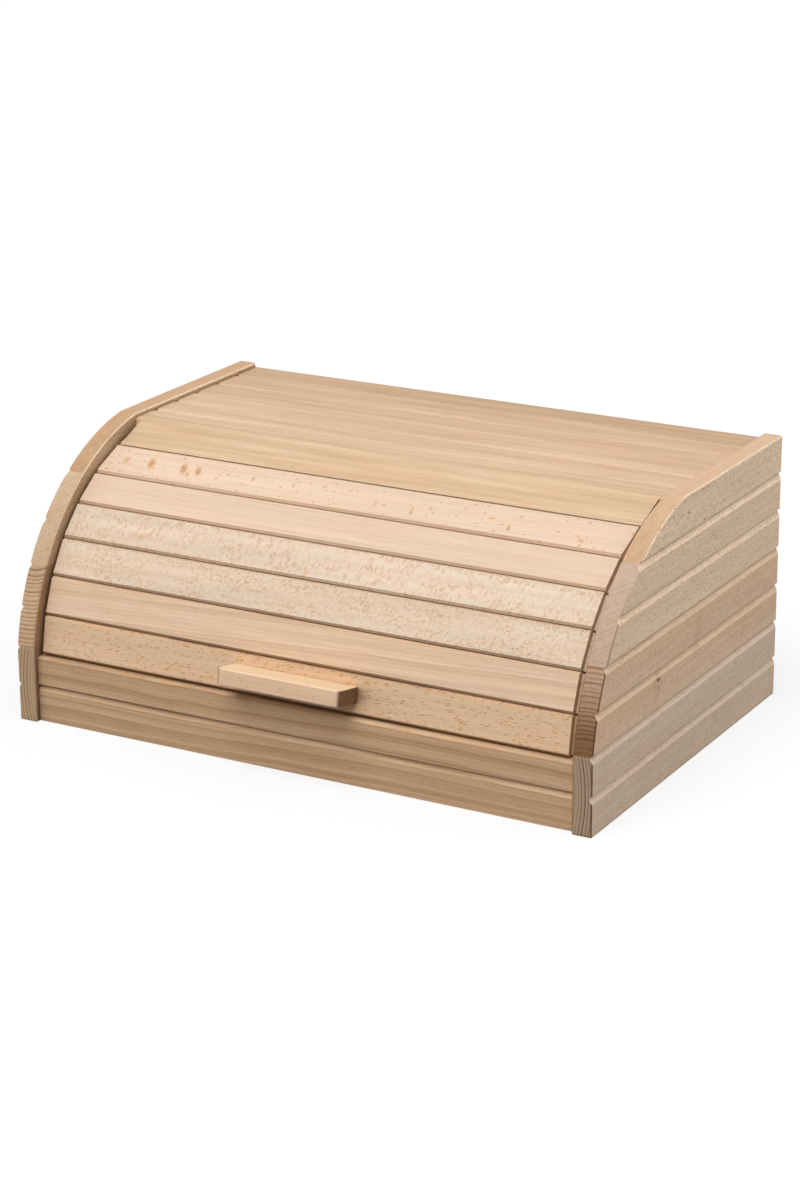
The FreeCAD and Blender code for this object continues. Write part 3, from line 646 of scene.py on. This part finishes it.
# the boards of the side panels from the foot up, and their front edges, which differ
SIDE = dict(pith=(-150, 80), fine=2.6, pore=(4.0, 1.9), pore_share=0.9, pore_dark=0.6,
            speckle=(3.6, 1.5), speckle_dark=0.4, mark=(0.66, 0.56, 0.47), tilt=-0.15,
            joint_open=(0.93, 0.55), joint_shade=0.6, shadowed=0.62, arris=0.00015, worn=0.0,
            shallow=(0.72, 0.85), end_rings=0.14, under=0.62)
SIDES = {
    1: dict(colour=(0.59, 0.455, 0.331), pith=(0, -120), shadowed=0.75, fine=2.3,
            streak=0.04, end_rings=0.6, bands=(2.0, 0.12), pore_dark=0.5),
    2: dict(colour=(0.65, 0.458, 0.296), streak=0.07, end_rings=0.55, pith=(-44, 2), spots=(
        (-47, -5.6, 3.4, 1.5, -14, 1.7), (-49, -10, 15, 7.0, 80, 0.28),
        (10, 6, 16, 8.0, 75, 0.25))),
    3: dict(colour=(0.75, 0.567, 0.395), dash=(4.5, 2.0), dash_share=0.7, dash_dark=0.6,
            pore_dark=0.8, shadowed=0.4),
    4: dict(colour=(0.79, 0.613, 0.435), dash=(5.0, 2.0), dash_share=0.8, dash_dark=0.75,
            pore_dark=0.8, shadowed=0.35,
            spots=((-84.7, -2, 2.6, 1.2, 70, 0.9), (-74.7, -3.3, 1.5, 1.3, 0, 0.8),
                   (-62, 4.2, 1.7, 1.2, 20, 0.8), (-59.7, 1.7, 1.5, 1.0, 0, 0.6),
                   (-51, 0.5, 1.8, 1.0, -20, 0.6), (-46, 10, 2.2, 1.2, 0, 0.8),
                   (-39.7, 1, 2.8, 1.3, -12, 1.0), (-18.5, 10, 2.4, 1.1, -10, 0.8),
                   (-12, 9.5, 2.6, 1.0, -14, 0.7), (6.5, 2, 2.4, 1.0, 30, 0.5))),
}
EDGES = {
    "left": {1: dict(end=(0.90, 0.80, 0.64)),
             2: dict(end=(0.93, 0.88, 0.85), end_fade=(-24, -2, 0.18)),
             3: dict(edge=(0.92, 0.92, 0.88), end=(0.82, 0.75, 0.72)),
             4: dict(edge=(0.70, 0.57, 0.46), end=(0.90, 0.84, 0.76))},
    "right": {1: dict(end=(0.72, 0.68, 0.63), end_rings=0.75, corner_dark=0.85),
              2: dict(corner_dark=0.85, edge=(0.86, 0.84, 0.84), end=(0.86, 0.80, 0.80),
                      end_rings=0.62, end_fade=(-20, 22, 1.0)),
              3: dict(corner_dark=0.6, edge=(0.86, 0.86, 0.93), end=(0.80, 0.75, 0.74)),
              4: dict(edge=(0.79, 0.69, 0.62), end=(0.88, 0.79, 0.68))},
}
for number, look in SIDES.items():
    for side, sign in (("left", -1), ("right", 1)):
        node = f"{side}_side_board_{number}"
        wear(node, wood(f"beech_{node}", Z * sign, X * sign, middle_of(node),
                        seed=20 + number + 10 * sign, **SIDE | look | EDGES[side][number]))
for number in range(1, 5):
    node = f"back_board_{number}"
    wear(node, wood(f"beech_{node}", Z, Y, middle_of(node), seed=50 + number,
                    colour=(0.71, 0.53, 0.39), ring_dark=0.05, dash_share=0.4))
# the boards of the top from the lip to the back
TOP = dict(ring=9, band=0.10, sway=3.0, fine_dark=0.03, bands=(4.5, 0.3), streak=0.09,
           joint_open=(0.85, 0.4), joint_shade=0.65, milled=(1.09, 1.13, 1.18))
TOPS = {
    # the lip's front edge is lighter by a painted highlight, so that it reads as lit as the top
    1: dict(colour=(0.633, 0.444, 0.280), ring_dark=0.03, slope=0.012, edge=(1.4, 1.4, 1.4),
            milled=(1.05, 1.06, 1.08), joint_shade=0.2, under=0.0),
    2: dict(colour=(0.632, 0.440, 0.282), ring_dark=0.03),
    3: dict(colour=(0.595, 0.407, 0.257), ring_dark=0.03),
    4: dict(colour=(0.515, 0.345, 0.211), ring_dark=0.03),
}
for number, look in TOPS.items():
    node = f"top_board_{number}"
    wear(node, wood(f"beech_{node}", Y, Z, middle_of(node), seed=60 + number, **TOP | look))
wear("front_rail", wood("beech_rail", Z, -Y, middle_of("front_rail"), seed=71,
                        colour=(0.65, 0.435, 0.262), pith=(-90, -60), ring=6.5, fine=2.1,
                        ring_dark=0.28, band=0.10, sway=5.0, wave=1.5, slope=-0.01,
                        fine_dark=0.16, fibre=0.34, dash=(7.0, 1.8), dash_share=0.5,
                        dash_dark=0.35, milled=(1.0, 1.02, 1.04)))
wear("base_panel", wood("base_wood", Y, Z, middle_of("base_panel"), seed=81,
                        colour=(0.74, 0.58, 0.42), pith=(60, -220), ring=9, ring_dark=0.12,
                        sway=9.0))
for node in ("rail_dowels", "back_dowels"):
    wear(node, wood(f"wood_{node}", Y, Z, middle_of(node), seed=91, ring_dark=0.1))
wear("base_nails", metal("nail_steel", (0.56, 0.55, 0.53), 0.35))
wear("handle_screws", metal("screw_brass", (0.72, 0.55, 0.28), 0.3))

# ---------------------------------------------------------------- canvas

# in metres: a thread's width, the cloth's thickness, its gap to the slats, the longest
# step between its rows, the depth of the pucker at a joint, and the rows next to a joint
THREAD = 0.0008
CLOTH_THICK, CLOTH_OFF, CLOTH_STEP = 0.0005, 0.00003, 0.004
CLOTH_COLUMNS = 90
PUCKER, PUCKER_STEPS = 0.00025, (0.0, 0.0012, 0.0026)
# how the pucker varies: its middle, its spread, and its noise's scales and row
PUCKER_MIDDLE, PUCKER_SPREAD = 0.8, 0.4
PUCKER_NOISE, PUCKER_ROW = (70, 300), 5.0
HOLE_RADIUS, HOLE_SIDES, HOLE_DEEP = 0.0042, 40, 0.01
# a face of the cloth is smooth if its normal leans less than this towards an end
SMOOTH_LEAN = 0.5
# the weave: its distance from the track's centre, how far slubs push it, noise scales,
# how its gaps narrow, and how far threads on top stand out
WEAVE_RADIUS, SLUB = 0.1262, 0.35
SLUB_SCALE, TONE_SCALE = (300, 300, 300), (25, 60, 60)
GAP_POWER, OVER_HIGH = 0.5, 0.3
COTTON, COTTON_DARK, COTTON_GAP = (0.70, 0.64, 0.52), (0.62, 0.555, 0.44), (0.33, 0.28, 0.21)
CLOTH_STEPS = {"tone": (0.3, 0.7), "gap": (0.0, 0.9), "rough": (0.2, 0.8, 0.82, 0.95)}
CLOTH_RELIEF = (0.8, 0.0002)
CLOTH_EVEN = {"Specular IOR Level": 0.2, "Sheen Weight": 0.25}


def canvas_rim():
    """The corners of the canvas's outer side, as vectors from the track's centre, its half
    width, and the middle of the right one of its two screw holes."""
    corners = [vertex.co.copy() for vertex in nodes["canvas_backing"].data.vertices]
    half = max(corner.x for corner in corners)
    near = CLOTH_STEP / 8
    rim, hole = {}, []
    for corner in corners:
        if half - abs(corner.x) < near:
            out = Vector((0, corner.y - TRACK.y, corner.z - TRACK.z))
            angle = round(math.degrees(math.atan2(out.z, out.y)), 1)
            if out.length > rim.get(angle, Vector((0, 0, 0))).length:
                rim[angle] = out
        elif corner.x > 0:
            hole.append(corner)
    return [rim[angle] for angle in sorted(rim)], half, sum(hole, Vector()) / len(hole)


def even(length, ends):
    """Distances from 0 to just under length, closer together near both ends."""
    inner = length - 2 * ends[-1]
    count = math.ceil(inner / CLOTH_STEP)
    return (list(ends[:-1]) + [ends[-1] + inner * k / count for k in range(count + 1)]
            + [length - end for end in ends[-2:0:-1]])


def canvas_rows(folds):
    """Vectors from the track's centre to each row of the cloth, and how puckered it is."""
    rows = []
    final = len(folds) - 2
    for number, (before, after) in enumerate(zip(folds, folds[1:])):
        run = after - before
        for along in even(run.length, PUCKER_STEPS):
            from_joint = min(math.inf if number == 0 else along,
                             math.inf if number == final else run.length - along)
            bulge = math.exp(-(from_joint / PUCKER_STEPS[1]) ** 2)
            rows.append((before + run.normalized() * along, bulge))
    return rows + [(folds[-1], 0.0)]


def screw_punch(hole):
    """Cylinders where the two screws of the handle go through the canvas."""
    punch = bmesh.new()
    axis = Vector((0, hole.y - TRACK.y, hole.z - TRACK.z)).normalized()
    for side in (-1, 1):
        place = Matrix.Translation(Vector((side * hole.x, hole.y, hole.z)))
        bmesh.ops.create_cone(
            punch, cap_ends=True, segments=HOLE_SIDES, radius1=HOLE_RADIUS,
            radius2=HOLE_RADIUS, depth=HOLE_DEEP,
            matrix=place @ axis.to_track_quat("Z", "Y").to_matrix().to_4x4())
    mesh = bpy.data.meshes.new("punch")
    punch.to_mesh(mesh)
    punch.free()
    return linked("punch", mesh)


def canvas():
    """Canvas glued behind the slats: flat on each of them and puckered at their joints."""
    folds, half, hole = canvas_rim()
    rows = canvas_rows(folds)
    columns = [-half + 2 * half * k / CLOTH_COLUMNS for k in range(CLOTH_COLUMNS + 1)]
    points = []
    for out, bulge in rows:
        for across in columns:
            rough = noise.noise(Vector((across * PUCKER_NOISE[0], out.y * PUCKER_NOISE[1],
                                        PUCKER_ROW)))
            sunk = CLOTH_OFF + PUCKER * bulge * (PUCKER_MIDDLE + PUCKER_SPREAD * rough)
            points.append(TRACK + out - out.normalized() * sunk + across * X)
    wide = len(columns)
    faces = [(r * wide + c, r * wide + c + 1, (r + 1) * wide + c + 1, (r + 1) * wide + c)
             for r in range(len(rows) - 1) for c in range(wide - 1)]
    mesh = bpy.data.meshes.new("canvas_cloth")
    mesh.from_pydata(points, [], faces)
    cloth = linked("canvas_cloth", mesh)
    thicken = cloth.modifiers.new("thick", "SOLIDIFY")
    thicken.thickness = CLOTH_THICK
    thicken.offset = -1.0
    cutter = screw_punch(hole)
    cut = cloth.modifiers.new("holes", "BOOLEAN")
    cut.operation, cut.solver, cut.object = "DIFFERENCE", "EXACT", cutter
    evaluated = cloth.evaluated_get(bpy.context.evaluated_depsgraph_get())
    finished = bpy.data.meshes.new_from_object(evaluated)
    cloth.modifiers.clear()
    cloth.data = finished
    bpy.data.objects.remove(cutter)
    for face in finished.polygons:
        face.use_smooth = abs(face.normal.x) < SMOOTH_LEAN
    finished.materials.clear()
    finished.materials.append(cloth_material())
    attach(cloth, "roll_front")
    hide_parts("canvas_backing")


def cloth_material():
    """Unbleached canvas, woven over and under, with slubs in its threads."""
    g = Graph(bpy.data.materials.new("canvas_weave"))
    place = g.add("TexCoord").outputs["Object"]
    x, y, z = g.split(place)
    around = g.math("ARCTAN2", g.math("SUBTRACT", z, TRACK.z), g.math("SUBTRACT", y, TRACK.y))
    slub = g.math("SUBTRACT", g.noise(g.vector("MULTIPLY", place, SLUB_SCALE), 2), 0.5)
    warp = g.math("MULTIPLY_ADD", slub, SLUB, g.math("DIVIDE", x, THREAD))
    weft = g.math("MULTIPLY_ADD", slub, SLUB,
                  g.math("MULTIPLY", around, WEAVE_RADIUS / THREAD))
    over = g.math("MULTIPLY", g.math("SINE", g.math("MULTIPLY", warp, math.pi)),
                  g.math("SINE", g.math("MULTIPLY", weft, math.pi)))
    threads = g.math("POWER", g.math("ABSOLUTE", over), GAP_POWER)
    tone = g.noise(g.vector("MULTIPLY", place, TONE_SCALE), 3)
    cotton = g.blend(g.step(tone, *CLOTH_STEPS["tone"]), COTTON, COTTON_DARK)
    height = g.math("MULTIPLY_ADD", over, OVER_HIGH, threads)
    return g.surface(g.blend(g.step(threads, *CLOTH_STEPS["gap"]), COTTON_GAP, cotton),
                     g.step(tone, *CLOTH_STEPS["rough"]), g.relief(height, *CLOTH_RELIEF),
                     CLOTH_EVEN)


canvas()

# ---------------------------------------------------------------- floor, light, camera

# the floor's grey, how it glows where it is only seen, half its side and how far it lies
# below the box, both in metres
FLOOR_TONE, FLOOR_GLOW, FLOOR_HALF, FLOOR_DROP = 0.3, 0.68, 6.0, 0.0002
# how much light comes from all round
WORLD_LEVEL = 0.3
# the lens and the sensor's width in mm, the place in metres, and the angles in degrees
CAMERA_LENS, CAMERA_SENSOR = 91.96, 36.0
CAMERA_PLACE = (0.91869, -1.63217, 0.71410)
CAMERA_AZIMUTH, CAMERA_ELEVATION, CAMERA_ROLL = 29.37, 18.9, -0.35


def floor():
    """A pale floor that shows white where no shadow lies on it."""
    side, z = FLOOR_HALF, cad_box[0].z - FLOOR_DROP
    mesh = bpy.data.meshes.new("floor")
    mesh.from_pydata([(-side, -side, z), (side, -side, z), (side, side, z), (-side, side, z)],
                     [], [(0, 1, 2, 3)])
    thing = linked("floor", mesh)
    g = Graph(bpy.data.materials.new("floor"))
    path = g.add("LightPath")
    shader = g.add("BsdfDiffuse")
    shader.inputs["Color"].default_value = (FLOOR_TONE,) * 3 + (1.0,)
    glow = g.add("Emission")
    seen = g.math("ADD", path.outputs["Is Camera Ray"], path.outputs["Is Glossy Ray"])
    seen = g.math("ADD", seen, path.outputs["Is Transmission Ray"], clamp=True)
    g.feed(glow.inputs["Strength"], g.math("MULTIPLY", seen, FLOOR_GLOW))
    both = g.add("AddShader")
    g.feed(both.inputs[0], shader.outputs[0])
    g.feed(both.inputs[1], glow.outputs[0])
    g.feed(g.add("OutputMaterial").inputs["Surface"], both.outputs[0])
    mesh.materials.append(g.owner)


def world():
    """Even soft light all round, seen as plain white."""
    g = Graph(bpy.data.worlds.new("studio"))
    path = g.add("LightPath")
    seen = g.math("MAXIMUM", path.outputs["Is Camera Ray"],
                  path.outputs["Is Transmission Ray"])
    seen = g.math("MAXIMUM", seen, path.outputs["Is Glossy Ray"])
    background = g.add("Background")
    g.feed(background.inputs["Strength"], g.step(seen, 0.0, 1.0, WORLD_LEVEL, 1.0))
    g.feed(g.add("OutputWorld").inputs["Surface"], background.outputs[0])
    bpy.context.scene.world = g.owner


def lamp(name, toward, spread, level):
    """A wide soft light. level is the share of full light that a surface facing it gets."""
    data = bpy.data.lights.new(name, "SUN")
    data.angle = math.radians(spread)
    data.energy = math.pi * level
    thing = linked(name, data)
    thing.rotation_mode = "QUATERNION"
    thing.rotation_quaternion = Vector(toward).to_track_quat("Z", "Y")


def camera():
    """A camera about two metres off, to the right of the front."""
    data = bpy.data.cameras.new("camera")
    data.sensor_width = CAMERA_SENSOR
    data.lens = CAMERA_LENS
    thing = linked("camera", data)
    azimuth, elevation = math.radians(CAMERA_AZIMUTH), math.radians(CAMERA_ELEVATION)
    forward = Vector((-math.sin(azimuth) * math.cos(elevation),
                      math.cos(azimuth) * math.cos(elevation), -math.sin(elevation)))
    roll = Matrix.Rotation(math.radians(CAMERA_ROLL), 3, "Z").to_quaternion()
    thing.location = CAMERA_PLACE
    thing.rotation_mode = "QUATERNION"
    thing.rotation_quaternion = forward.to_track_quat("-Z", "Y") @ roll
    bpy.context.scene.camera = thing


floor()
world()
lamp("overhead", (0.0, -0.42, 0.91), 50, 0.70)
lamp("left", (-0.85, -0.5, 0.15), 50, 0.30)
lamp("behind", (0.74, 0.46, 0.49), 70, 0.42)
camera()
bpy.context.scene.view_settings.view_transform = "Standard"
